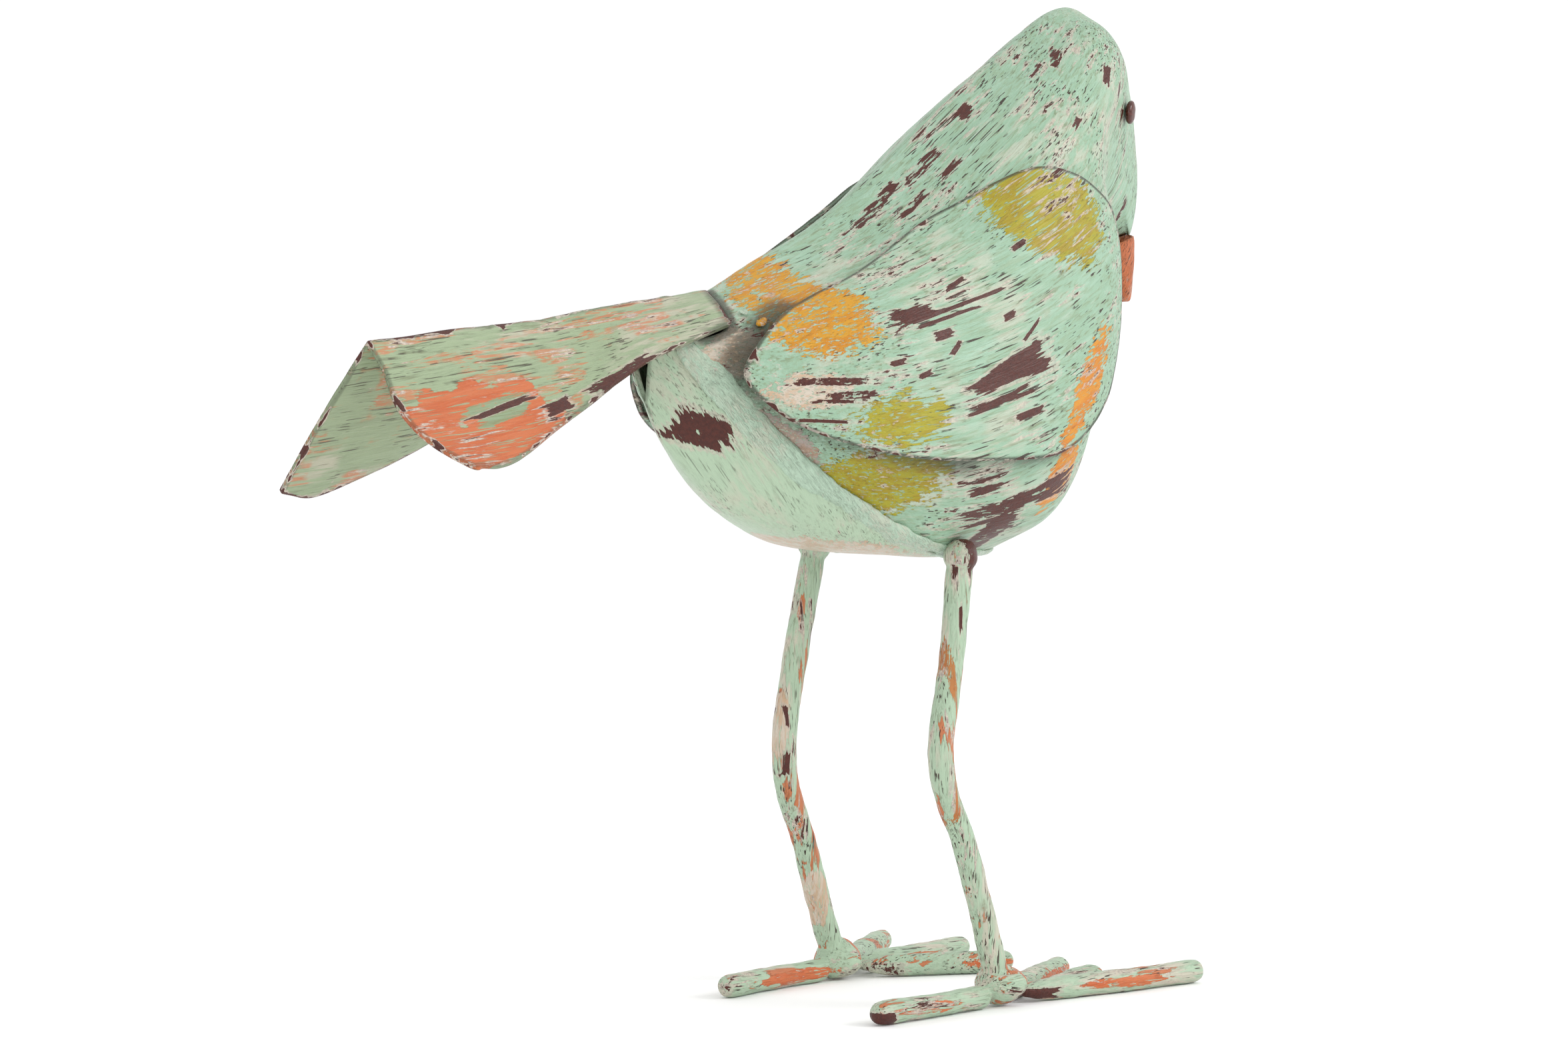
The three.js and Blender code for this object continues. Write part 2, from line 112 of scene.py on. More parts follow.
# Camera: a long lens a little above the bird's middle, at its rear right quarter
CAMERA_FOCAL = 119.4
CAMERA_PLACE = (-1.0707, -1.1249, 0.2388)
CAMERA_TILT = radians(3.4)
CAMERA_TURN = atan2(0.6947, 0.7193)


def make_camera():
    data = bpy.data.cameras.new("camera")
    data.lens = CAMERA_FOCAL
    data.sensor_width = 36
    camera = bpy.data.objects.new("camera", data)
    bpy.context.scene.collection.objects.link(camera)
    camera.location = CAMERA_PLACE
    camera.rotation_euler = (radians(90) - CAMERA_TILT, 0, -CAMERA_TURN)
    bpy.context.scene.camera = camera


# Mesh work

def new_object(name, mesh, *replaced):
    piece = bpy.data.objects.new(name, mesh)
    bpy.context.scene.collection.objects.link(piece)
    for polygon in mesh.polygons:
        polygon.use_smooth = True
    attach(piece, "root")
    if replaced:
        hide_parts(*replaced)
    return piece


def cad_mesh(names):
    """The named CAD nodes in one bmesh, with shared vertices merged and triangles joined to quads."""
    bm = bmesh.new()
    for name in names:
        bm.from_mesh(nodes[name].data)
    bmesh.ops.remove_doubles(bm, verts=bm.verts, dist=0.02 * MM)
    bmesh.ops.join_triangles(
        bm, faces=bm.faces, angle_face_threshold=radians(25), angle_shape_threshold=radians(70))
    return bm


def applied(mesh, modifiers):
    """A copy of the mesh with the given modifiers applied: (type, settings) pairs."""
    work = bpy.data.objects.new("work", mesh)
    bpy.context.scene.collection.objects.link(work)
    for kind, settings in modifiers:
        modifier = work.modifiers.new(kind.lower(), kind)
        for key, value in settings.items():
            setattr(modifier, key, value)
    graph = bpy.context.evaluated_depsgraph_get()
    made = bpy.data.meshes.new_from_object(work.evaluated_get(graph))
    bpy.data.objects.remove(work)
    return made


def finished(bm, modifiers, crease=0.0):
    """The bmesh as a mesh with the modifiers applied.

    With a crease, sharp edges are creased, and the control vertices are first moved outward so that the
    subdivided surface passes through the places where they stood.
    """
    mesh = bpy.data.meshes.new("work")
    if crease:
        layer = bm.edges.layers.float.get("crease_edge") or bm.edges.layers.float.new("crease_edge")
        for edge in bm.edges:
            if is_rim(edge):
                edge[layer] = crease
    bm.to_mesh(mesh)
    bm.free()
    if crease:
        aims = [vertex.co.copy() for vertex in mesh.vertices]
        for _ in range(4):
            limit = applied(mesh, [("SUBSURF", {"levels": 1, "render_levels": 1})])
            for vertex, aim in zip(mesh.vertices, aims):
                vertex.co += aim - limit.vertices[vertex.index].co
            mesh.update()
            bpy.data.meshes.remove(limit)
    made = applied(mesh, modifiers)
    bpy.data.meshes.remove(mesh)
    return made


# The line inside the body that its skins are pushed out from: it lifts from the belly into the head.
CORE_LOW_Z = 198 * MM
CORE_LIFT = 50 * MM
CORE_LIFT_FROM = 215 * MM


def outward(point):
    """Unit direction from the body's core line to a point."""
    along = min(max(point.x, BODY_LOW.x + 10 * MM), BODY_HIGH.x - 45 * MM)
    rise = max(0.0, min(1.0, (point.z - CORE_LIFT_FROM) / CORE_LIFT))
    core = Vector((along, MIDDLE_Y, CORE_LOW_Z + CORE_LIFT * rise))
    return (point - core).normalized()


def upward(_point):
    return Vector((0, 0, 1))


def dent(mesh, direction, sizes, seed):
    """Hand-beaten unevenness: moves both faces of a sheet together; sizes are (wavelength, height) in mm."""
    shift = Vector((seed * 3.1, seed * 1.7, -seed * 2.3))
    for vertex in mesh.vertices:
        amount = sum(height * noise.noise(vertex.co / (wave * MM) + shift) for wave, height in sizes)
        vertex.co += direction(vertex.co) * (amount * MM)
    mesh.update()


def swell(mesh, sizes, seed, base=0.0, floor=None):
    """Thick uneven paint: moves each vertex along its own normal."""
    shift = Vector((seed * 2.7, -seed * 1.3, seed * 4.1))
    normals = [vertex.normal.copy() for vertex in mesh.vertices]
    for vertex, normal in zip(mesh.vertices, normals):
        amount = base + sum(height * noise.noise(vertex.co / (wave * MM) + shift) for wave, height in sizes)
        vertex.co += normal * (amount * MM)
        if floor is not None and vertex.co.z < floor:
            vertex.co.z = floor
    mesh.update()


def mark_near(mesh, name, groups):
    """Stores how near each vertex is to the points, from 0 at reach to 1 on them, as an attribute.

    groups are (points, reach in mm) pairs, and the nearest group counts.
    """
    attribute = mesh.attributes.new(name, "FLOAT", "POINT")
    for points, reach in groups:
        tree = KDTree(len(points))
        for index, point in enumerate(points):
            tree.insert(point, index)
        tree.balance()
        for vertex in mesh.vertices:
            near = 1 - tree.find(vertex.co)[2] / (reach * MM)
            value = attribute.data[vertex.index]
            value.value = max(value.value, near)


RIM_ANGLE = radians(55)
RIM_SPACING = 0.5 * MM


def is_rim(edge):
    return len(edge.link_faces) == 2 and edge.calc_face_angle(0) > RIM_ANGLE


def rim_points(bm):
    """Points along a sheet's sharp outer edges, before it is subdivided."""
    points = []
    for edge in bm.edges:
        if is_rim(edge):
            ends = [vertex.co.copy() for vertex in edge.verts]
            count = max(1, round((ends[1] - ends[0]).length / RIM_SPACING))
            points += [ends[0].lerp(ends[1], step / count) for step in range(count)]
    return points


SUBDIVIDE = ("SUBSURF", {"levels": 3, "render_levels": 3})
SUBDIVIDE_LESS = ("SUBSURF", {"levels": 2, "render_levels": 2})

# Hand-beaten unevenness of each sheet and of its paint, as (wavelength, height) in mm
BODY_DENTS = [(55, 1.1), (24, 0.55), (9, 0.14)]
BELLY_DENTS = [(40, 0.6), (16, 0.2)]
TAIL_DENTS = [(45, 1.0), (18, 0.5), (7, 0.12)]
WING_DENTS = [(60, 1.0), (22, 0.4), (9, 0.12)]
PAINT_DENTS = [(3.5, 0.07)]


def node_rim(name):
    """Points along the sharp edges of a CAD node."""
    bm = cad_mesh([name])
    points = rim_points(bm)
    bm.free()
    return points


TACKS = [f"{side}_{tack}" for side in ("right", "left") for tack in ("wing_tack", "tail_tack")]
WINGS = ["right_wing", "left_wing"]

# How far wear, soiling with painted shade, and painted shadow under the wings reach from an edge, in mm
WEAR_REACH = 5
SOIL_AND_SHADE_REACH = 5
WING_SHADOW_REACH = 9
WING_REAR_SHADOW_REACH = 14
NEIGHBOURS = {
    "body_skin": ["tail"],
    "belly_skin": ["tail"],
    "tail_skin": ["right_body_shell", "left_body_shell"],
}


def soil_and_shade_groups(piece):
    """Where soiling and painted shade gather on a piece: along the edges of the nodes next to it, as groups
    for mark_near.

    The wings stand off the body along the lower half of their edge, most of all behind, so the painted
    shadow under them reaches further there.
    """
    groups = [([point for name in NEIGHBOURS.get(piece, TACKS) for point in node_rim(name)], SOIL_AND_SHADE_REACH)]
    if piece == "body_skin":
        # Painted shadow under the wings' lower edges, reaching furthest behind.
        middle = WING_LOW.lerp(WING_HIGH, 0.5)
        lower = [point for name in WINGS for point in node_rim(name) if point.z < middle.z]
        groups.append((lower, WING_SHADOW_REACH))
        groups.append(([point for point in lower if point.x < middle.x], WING_REAR_SHADOW_REACH))
    return groups


# The shells' edges lie nearer than this to the middle plane, with a gap between them.
SHELL_EDGE_REACH = 0.4 * MM
TOUCHING = 0.05 * MM


def make_body():
    """Both shells as one skin, closed along the middle plane."""
    bm = cad_mesh(["right_body_shell", "left_body_shell"])
    for vertex in bm.verts:
        if abs(vertex.co.y - MIDDLE_Y) < SHELL_EDGE_REACH:
            vertex.co.y = MIDDLE_Y
    inner = [face for face in bm.faces if all(abs(v.co.y - MIDDLE_Y) < 0.2 * TOUCHING for v in face.verts)]
    bmesh.ops.delete(bm, geom=inner, context="FACES")
    bmesh.ops.remove_doubles(bm, verts=bm.verts, dist=TOUCHING)
    rim = rim_points(bm)
    mesh = finished(bm, [SUBDIVIDE], crease=0.6)
    mark_near(mesh, "edge", [(rim, WEAR_REACH)])
    # Soiling and painted shade by the tail, and painted shadow under the wings' lower edges.
    mark_near(mesh, "soil_and_shade", soil_and_shade_groups("body_skin"))
    dent(mesh, outward, BODY_DENTS, 1)
    swell(mesh, PAINT_DENTS, 11)
    return new_object("body_skin", mesh, "right_body_shell", "left_body_shell")


def make_sheet(name, node, direction, seed, sizes):
    """One CAD sheet as a skin with beaten unevenness, worn edges, and soiling and painted shade by its
    neighbours.
    """
    bm = cad_mesh([node])
    rim = rim_points(bm)
    mesh = finished(bm, [SUBDIVIDE], crease=0.7)
    mark_near(mesh, "edge", [(rim, WEAR_REACH)])
    # Soiling and painted shade by the neighbouring edges.
    mark_near(mesh, "soil_and_shade", soil_and_shade_groups(name))
    dent(mesh, direction, sizes, seed)
    swell(mesh, PAINT_DENTS, seed + 10)
    return new_object(name, mesh, node)


def make_foot(side, seed):
    """One leg with its toes and welds as one mesh, grown together wherever they overlap."""
    toes = [f"{side}_{toe}_toe" for toe in ("back", "outer", "middle", "inner")]
    rods = [f"{side}_leg", *toes]
    welds = [f"{side}_ankle_weld", f"{side}_leg_weld"]
    bm = bmesh.new()
    for names, crease, base in (([rods[0]], 0.01, 0.0), (toes, 0.01, -0.3), (welds, 0.0, 0.3)):
        part = finished(cad_mesh(names), [SUBDIVIDE_LESS], crease=crease)
        swell(part, [(5, 0.2)], seed, base=base, floor=0.0)
        bm.from_mesh(part)
        bpy.data.meshes.remove(part)
    mesh = finished(bm, [
        ("REMESH", {"mode": "VOXEL", "voxel_size": 0.6 * MM}),
        ("SMOOTH", {"factor": 0.5, "iterations": 4})])
    swell(mesh, [(16, 0.3), (5, 0.16), (2, 0.07)], seed + 3, base=0.1, floor=0.0)
    return new_object(f"{side}_leg_and_foot", mesh, *rods, *welds)


def make_small(name, node, seed, base, sizes):
    """One small CAD node, rounded and grown by base in mm."""
    mesh = finished(cad_mesh([node]), [SUBDIVIDE_LESS])
    swell(mesh, sizes, seed, base=base)
    return new_object(name, mesh, node)


def seam_line(side):
    """One side's belly seam, rear to front: points halfway between the shell's edge and the plate's."""
    shell_rim = node_rim(f"{side}_body_shell")
    shell = KDTree(len(shell_rim))
    for index, point in enumerate(shell_rim):
        shell.insert(point, index)
    shell.balance()
    core = Vector((CORE_X, MIDDLE_Y, 190 * MM))
    spacing = 5 * MM
    bins = {}
    for point in node_rim("belly_plate"):
        if (point.y < MIDDLE_Y) != (side == "right"):
            continue
        other, _, distance = shell.find(point)
        if distance < spacing:
            middle = (point + other) / 2
            reach = (middle - core).length
            key = round(middle.x / spacing)
            if key not in bins or reach > bins[key][0]:
                bins[key] = (reach, middle)
    return [bins[key][1] for key in sorted(bins)]


# Half width and half height of the seam bead in mm: at the rear, and how much it loses towards the front
BEAD_WIDE, BEAD_WIDE_LOSS = 4.9, 2.1
BEAD_HIGH, BEAD_HIGH_LOSS = 1.7, 0.6
BEAD_TURNS = 16


def make_seam_bead(side, seed):
    """The weld along the whole belly seam: a broad lumpy cord, sunk in the joint and narrower in front."""
    line = seam_line(side)
    for _ in range(3):
        line = [line[0]] + [(a + b * 2 + c) / 4 for a, b, c in zip(line, line[1:], line[2:])] + [line[-1]]
    last = len(line) - 1
    bm = bmesh.new()
    rings = []
    for index, point in enumerate(line):
        ahead = (line[min(index + 1, last)] - line[max(index - 1, 0)]).normalized()
        out = outward(point)
        out = (out - ahead * out.dot(ahead)).normalized()
        beside = ahead.cross(out)
        front = index / last
        ends = min(1.0, 0.45 + 0.3 * index, 0.45 + 0.3 * (last - index))
        wide = (BEAD_WIDE - BEAD_WIDE_LOSS * front) * ends * MM
        high = (BEAD_HIGH - BEAD_HIGH_LOSS * front) * ends * MM
        ring = []
        for turn in range(BEAD_TURNS):
            angle = radians(360 / BEAD_TURNS * turn)
            ring.append(bm.verts.new(point + beside * (cos(angle) * wide) + out * (sin(angle) * high)))
        rings.append(ring)
    for one, other in zip(rings, rings[1:]):
        for turn in range(BEAD_TURNS):
            bm.faces.new((one[turn], one[turn - 1], other[turn - 1], other[turn]))
    bm.faces.new(rings[0])
    bm.faces.new(reversed(rings[-1]))
    bmesh.ops.recalc_face_normals(bm, faces=bm.faces)
    mesh = finished(bm, [SUBDIVIDE])
    swell(mesh, [(11, 0.7), (5, 0.6), (2.2, 0.28)], seed + 20)
    return new_object(f"{side}_seam_bead", mesh, f"{side}_seam_weld")


# Paint: classes that build nodes, the layers that every finish shares, and the finishes

class Nodes:
    """A node tree under construction; each method adds nodes and returns an output socket."""

    def __init__(self, tree):
        self.tree = tree

    def link(self, source, socket):
        if isinstance(source, bpy.types.NodeSocket):
            self.tree.links.new(source, socket)
        else:
            socket.default_value = source

    def math(self, operation, first, second=0.0, clamp=False):
        node = self.tree.nodes.new("ShaderNodeMath")
        node.operation = operation
        node.use_clamp = clamp
        self.link(first, node.inputs[0])
        self.link(second, node.inputs[1])
        return node.outputs[0]

    def vector(self, operation, first, second):
        node = self.tree.nodes.new("ShaderNodeVectorMath")
        node.operation = operation
        self.link(first, node.inputs[0])
        self.link(second, node.inputs["Scale" if operation == "SCALE" else 1])
        return node.outputs["Value" if operation in ("DOT_PRODUCT", "LENGTH") else "Vector"]

    def split(self, vector):
        node = self.tree.nodes.new("ShaderNodeSeparateXYZ")
        self.link(vector, node.inputs[0])
        return node.outputs

    def join(self, x, y, z):
        node = self.tree.nodes.new("ShaderNodeCombineXYZ")
        for socket, value in zip(node.inputs, (x, y, z)):
            self.link(value, socket)
        return node.outputs[0]

    def noise(self, vector, scale, detail=3.0, roughness=0.55, distortion=0.0):
        node = self.tree.nodes.new("ShaderNodeTexNoise")
        self.link(vector, node.inputs["Vector"])
        node.inputs["Scale"].default_value = scale
        node.inputs["Detail"].default_value = detail
        node.inputs["Roughness"].default_value = roughness
        node.inputs["Distortion"].default_value = distortion
        return node.outputs["Fac"]

    def step(self, value, low, high):
        """Rises smoothly from 0 at low to 1 at high."""
        node = self.tree.nodes.new("ShaderNodeMapRange")
        node.interpolation_type = "SMOOTHSTEP"
        self.link(value, node.inputs["Value"])
        node.inputs["From Min"].default_value = low
        node.inputs["From Max"].default_value = high
        return node.outputs["Result"]

    def mix(self, share, under, over):
        node = self.tree.nodes.new("ShaderNodeMix")
        node.data_type = "RGBA"
        self.link(share, node.inputs["Factor"])
        self.link(under, node.inputs["A"])
        self.link(over, node.inputs["B"])
        return node.outputs["Result"]

    def attribute(self, name):
        node = self.tree.nodes.new("ShaderNodeAttribute")
        node.attribute_name = name
        return node.outputs["Fac"]


PATCH_INPUTS = {
    "Place": "Vector", "Centre": "Vector", "Along": "Vector", "Across": "Vector",
    "Long": "Float", "Wide": "Float", "Deep": "Float", "Ragged": "Float", "Scratched": "Float",
    "Taper": "Float", "Straight": "Float", "Ends": "Float", "Fine": "Float", "Lump": "Float",
}


def make_patch_group():
    """A node group that says how far inside a brushed patch a place is: above 0 is inside."""
    tree = bpy.data.node_groups.new("patch", "ShaderNodeTree")
    for name, kind in PATCH_INPUTS.items():
        tree.interface.new_socket(name, in_out="INPUT", socket_type=f"NodeSocket{kind}")
    tree.interface.new_socket("Inside", in_out="OUTPUT", socket_type="NodeSocketFloat")
    given = tree.nodes.new("NodeGroupInput").outputs
    group = Nodes(tree)
    offset = group.vector("SUBTRACT", given["Place"], given["Centre"])
    shift = group.math("MULTIPLY", group.math("SUBTRACT", given["Ends"], 0.5), given["Ragged"])
    along = group.math("ADD", group.vector("DOT_PRODUCT", offset, given["Along"]), shift)
    along = group.math("DIVIDE", along, given["Long"])
    across = group.math("DIVIDE", group.vector("DOT_PRODUCT", offset, given["Across"]), given["Wide"])
    spread = group.math("ADD", group.math("MULTIPLY", along, given["Taper"]), 1.0)
    across = group.math("DIVIDE", across, group.math("MAXIMUM", spread, 0.1))
    aside = group.math("DIVIDE", group.vector("DOT_PRODUCT", offset, (0, 1, 0)), given["Deep"])
    round_reach = group.vector("LENGTH", group.join(along, across, aside), (0, 0, 0))
    reach = group.math("MAXIMUM", group.math("ABSOLUTE", along), group.math("ABSOLUTE", across))
    reach = group.math("MAXIMUM", reach, group.math("ABSOLUTE", aside))
    squarer = group.math("MULTIPLY", group.math("SUBTRACT", reach, round_reach), given["Straight"])
    reach = group.math("ADD", round_reach, squarer)
    inside = group.math("MULTIPLY", group.math("SUBTRACT", 1.0, reach), 1.6)
    inside = group.math("MINIMUM", inside, 0.42)
    wobble = group.math("MULTIPLY", group.math("SUBTRACT", given["Lump"], 0.5), 1.4)
    broken = group.math("MULTIPLY", group.math("SUBTRACT", given["Fine"], 0.56), given["Scratched"])
    value = group.math("ADD", group.math("ADD", inside, wobble), group.math("MULTIPLY", broken, 2.0))
    group.link(value, tree.nodes.new("NodeGroupOutput").inputs["Inside"])
    return tree


PATCH_GROUP = make_patch_group()


class Paint(Nodes):
    """A material under construction, with coordinates in mm."""

    def __init__(self, name):
        self.material = bpy.data.materials.new(name)
        self.material.use_nodes = True
        super().__init__(self.material.node_tree)
        self.shader = self.tree.nodes["Principled BSDF"]
        coordinates = self.tree.nodes.new("ShaderNodeTexCoord").outputs["Object"]
        self.place = self.vector("SCALE", coordinates, 1 / MM)

    def sweep(self, slope, bend, rise, stretch):
        """Brush coordinates whose slope grows by bend per mm of x and by rise per mm of z."""
        x, y, z = self.split(self.place)
        ahead = self.math("SUBTRACT", x, CORE_X / MM)
        above = self.math("SUBTRACT", z, WING_LOW.z / MM)
        tilt = self.math("ADD", self.math("MULTIPLY", ahead, bend / 2), slope)
        tilt = self.math("ADD", tilt, self.math("MULTIPLY", above, rise))
        across = self.math("SUBTRACT", z, self.math("MULTIPLY", ahead, tilt))
        along = self.math("ADD", x, self.math("MULTIPLY", z, slope))
        return self.brushed(along, y, across, stretch)

    def brushed(self, along, aside, across, stretch):
        """Stretched coordinates whose strokes begin and end at staggered places."""
        self.comb = self.noise(self.join(self.math("MULTIPLY", along, 0.03), aside, across), 0.8, 1.5)
        shift = self.math("MULTIPLY", self.math("SUBTRACT", self.comb, 0.5), 30)
        return self.join(self.math("MULTIPLY", self.math("ADD", along, shift), 1 / stretch), aside, across)

    def lay_marks(self, flow):
        """The noises that all layers share: brush marks along the flow, and unevenness where it lies."""
        self.brush = flow
        self.streak = self.noise(flow, 0.34, 5.0, 0.6, 0.15)
        self.fine = self.noise(flow, 0.95, 4.0, 0.6, 0.3)
        self.hair = self.noise(self.vector("MULTIPLY", flow, (0.32, 1, 1)), 1.6, 1.5, 0.5, 0.1)
        self.lump = self.noise(self.place, 0.085, 3.0, 0.6)
        self.broad = self.noise(self.place, 0.030, 3.0)
        self.zone = self.noise(self.place, 0.05, 3.0)
        self.grain = self.noise(self.place, 0.9, 4.0, 0.65)

    def patch(self, shape):
        """How far inside a patch of the given shape each place is."""
        turn = radians(shape.angle)
        values = {
            "Place": self.place,
            "Centre": tuple(c / MM for c in shape.centre),
            "Along": (cos(turn), 0, sin(turn)),
            "Across": (-sin(turn), 0, cos(turn)),
            "Long": shape.long,
            "Wide": shape.wide,
            "Deep": shape.deep,
            "Ragged": shape.ragged,
            "Scratched": shape.scratched,
            "Taper": shape.taper,
            "Straight": 1.0 if shape.taper else 0.0,
            "Ends": self.comb if shape.taper else self.streak,
            "Fine": self.fine,
            "Lump": self.lump,
        }
        node = self.tree.nodes.new("ShaderNodeGroup")
        node.node_tree = PATCH_GROUP
        for name, value in values.items():
            self.link(value, node.inputs[name])
        return node.outputs["Inside"]


def deeper(colour, factor):
    return tuple(c * factor for c in colour[:3]) + (1,)


def brushed_coat(paint, base, cream, patina):
    """Mint, brushed unevenly, with a cream veil and an olive-brown wash left in the brush marks."""
    pale, dull = (MINT_PALE, MINT_DULL) if base == MINT else (base, deeper(base, 0.8))
    colour = paint.mix(paint.step(paint.streak, 0.40, 0.66), base, pale)
    share = paint.math("MULTIPLY", paint.step(paint.fine, 0.44, 0.62), 0.5 * patina)
    colour = paint.mix(share, colour, dull)
    veil = paint.math("MULTIPLY", paint.step(paint.broad, 0.47, 0.60), paint.step(paint.streak, 0.42, 0.56))
    colour = paint.mix(paint.math("MULTIPLY", veil, 0.42 * cream), colour, CREAM)
    wash = paint.math("MULTIPLY", paint.step(paint.fine, 0.53, 0.66), paint.step(paint.zone, 0.38, 0.58))
    return paint.mix(paint.math("MULTIPLY", wash, 0.45 * patina), colour, PATINA)


def dry_strokes(paint, colour, stroke_colour, low, amount):
    """A colour rubbed on in dry strokes."""
    stroke = paint.math(
        "MULTIPLY", paint.step(paint.streak, low, low + 0.03), paint.step(paint.fine, 0.40, 0.47))
    share = paint.math("MULTIPLY", stroke, paint.step(paint.zone, 0.43, 0.50))
    return paint.mix(paint.math("MULTIPLY", share, amount), colour, stroke_colour)


def islands(paint, colour, island_colour, low, amount, patina):
    """A colour left in smooth islands, which are edged with wash."""
    island = paint.noise(paint.brush, 0.20, 3.0, 0.55)
    island = paint.math("ADD", island, paint.math("MULTIPLY", paint.grain, 0.05))
    border = paint.math("MULTIPLY", paint.step(island, low - 0.02, low + 0.01), 0.6 * patina)
    colour = paint.mix(border, colour, PATINA)
    tone = paint.mix(paint.step(paint.fine, 0.45, 0.65), island_colour, deeper(island_colour, 0.7))
    return paint.mix(paint.math("MULTIPLY", paint.step(island, low, low + 0.015), amount), colour, tone)


def dabs(paint, colour, patches):
    """Coloured dabs torn along the brush, and how thick they lie."""
    relief = 0.0
    for dab_colour, shape in patches:
        share = paint.step(paint.patch(shape), 0.0, 0.05)
        warmer = tuple(c * d for c, d in zip(dab_colour, (0.92, 0.74, 0.6, 1)))
        tone = paint.mix(paint.step(paint.streak, 0.42, 0.60), dab_colour, warmer)
        torn = paint.math("MULTIPLY", paint.step(paint.hair, 0.39, 0.36), 0.8)
        share = paint.math("MULTIPLY", share, paint.math("SUBTRACT", 1.0, torn))
        colour = paint.mix(share, colour, tone)
        relief = paint.math("MAXIMUM", relief, share)
    return colour, relief


def chipping(paint, chips, wear, cream, edge_chips):
    """Where the primer is bare, and where the cream layer shows round it."""
    lost = paint.math(
        "ADD", paint.math("MULTIPLY", paint.streak, 0.6), paint.math("MULTIPLY", paint.zone, 0.4))
    limit = 0.612 + 0.05 * (1 - wear)
    chipped = paint.step(lost, limit, limit + 0.006)
    chipped = paint.math("MULTIPLY", chipped, paint.step(paint.fine, 0.46, 0.49))
    halo = paint.step(lost, limit - 0.06, limit - 0.03)
    halo = paint.math("MULTIPLY", halo, paint.step(paint.fine, 0.42, 0.50))
    halo = paint.math("MULTIPLY", halo, 0.8 * cream)
    if edge_chips:
        near = paint.math("POWER", paint.attribute("edge"), 3.0)
        nick = paint.noise(paint.place, 0.13, 2.5, 0.55)
        value = paint.math("ADD", paint.math("MULTIPLY", near, edge_chips), nick)
        chipped = paint.math("MAXIMUM", chipped, paint.step(value, 0.83, 0.845))
        around = paint.math("MULTIPLY", paint.step(value, 0.75, 0.80), 0.7 * cream)
        halo = paint.math("MAXIMUM", halo, around)
    for shape in chips:
        inside = paint.patch(shape)
        chipped = paint.math("MAXIMUM", chipped, paint.step(inside, 0.0, 0.05))
        around = paint.math("MULTIPLY", paint.step(inside, -0.5, -0.3), 0.6)
        halo = paint.math("MAXIMUM", halo, around)
    return chipped, halo


def cracking(paint, relief, cracks):
    """Hair cracks along the brush, fewer where a dab lies over them."""
    crack = paint.math("MULTIPLY", paint.step(paint.hair, 0.62, 0.645), paint.step(paint.lump, 0.43, 0.54))
    left = paint.math("SUBTRACT", 0.95 * cracks, paint.math("MULTIPLY", relief, 0.7))
    return paint.math("MULTIPLY", crack, left, clamp=True)


def surface(paint, relief, chipped, halo, crack, gloss):
    """Gloss, and the relief of brush marks, dabs, chips and cracks."""
    rough = paint.math("ADD", 0.26 - gloss, paint.math("MULTIPLY", paint.grain, 0.28))
    rough = paint.math("ADD", rough, paint.math("MULTIPLY", halo, 0.15))
    rough = paint.math("SUBTRACT", rough, paint.math("MULTIPLY", chipped, 0.12), clamp=True)
    paint.link(rough, paint.shader.inputs["Roughness"])
    paint.shader.inputs["Specular IOR Level"].default_value = 0.35
    bare = paint.math("MAXIMUM", chipped, crack)
    height = 0.0
    for part, share in ((paint.streak, 0.42), (paint.fine, 0.42), (paint.grain, 0.10),
                        (relief, 0.08), (bare, -0.16), (halo, -0.05)):
        height = paint.math("ADD", height, paint.math("MULTIPLY", part, share))
    bump = paint.tree.nodes.new("ShaderNodeBump")
    bump.inputs["Strength"].default_value = 0.95
    bump.inputs["Distance"].default_value = 1.0 * MM
    paint.link(height, bump.inputs["Height"])
    paint.link(bump.outputs["Normal"], paint.shader.inputs["Normal"])


